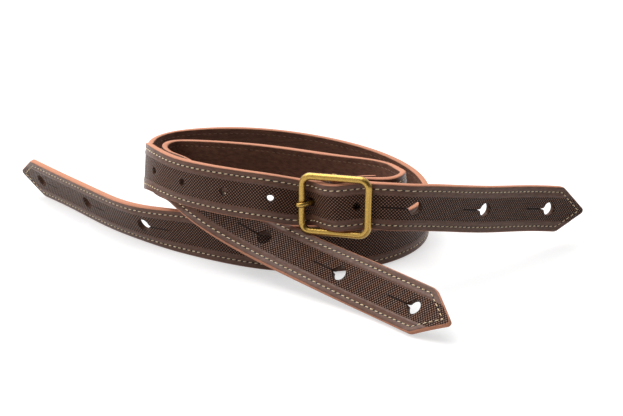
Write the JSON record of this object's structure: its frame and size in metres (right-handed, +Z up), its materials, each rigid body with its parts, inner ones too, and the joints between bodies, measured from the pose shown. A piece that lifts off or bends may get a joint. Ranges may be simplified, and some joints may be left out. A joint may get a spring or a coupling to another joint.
{
  "type": "leather guitar strap",
  "caption": "Adjustable two-piece leather guitar strap, lined and stitched, with keyholed pointed ends and a centre-bar buckle, lying in a loose coil.",
  "frame": {"origin": "centre of the bounding box's base, on the surface that the coil lies on", "axes": "+X along the coil's longest side, from the long strap's far end towards its buckled tail; +Y away from the buckle's face, to the back of the coil; +Z up"},
  "size_m": [0.3212, 0.2257, 0.0623],
  "materials": {
    "dark_brown_leather": "dark brown finished leather with an embossed centre band and natural tan cut edges",
    "brown_lining_leather": "brown lining leather, slightly rough and matt",
    "cream_thread": "waxed cream thread",
    "antique_brass": "antique brass with a mottled dark patina"
  },
  "bodies": {
    "straps": {"long_strap_leather": "dark_brown_leather", "long_strap_lining": "brown_lining_leather", "long_strap_stitching": "cream_thread", "short_strap_leather": "dark_brown_leather", "short_strap_lining": "brown_lining_leather", "short_strap_stitching": "cream_thread", "fold_stitching": "cream_thread"},
    "frame": {"buckle_frame": "antique_brass"},
    "prong": {"buckle_prong": "antique_brass"}
  },
  "joints": [
    {"name": "frame_swing", "type": "hinge", "parent": "straps", "child": "frame", "pos_m": [0.02454, -0.0365, 0.04471], "axis": [-0.114, -0.042, 0.9926], "range_deg": [-0.5, 0.5]},
    {"name": "prong_lift", "type": "hinge", "parent": "frame", "child": "prong", "pos_m": [0.02454, -0.0365, 0.04471], "axis": [-0.114, -0.042, 0.9926], "range_deg": [0, 3]}
  ]
}
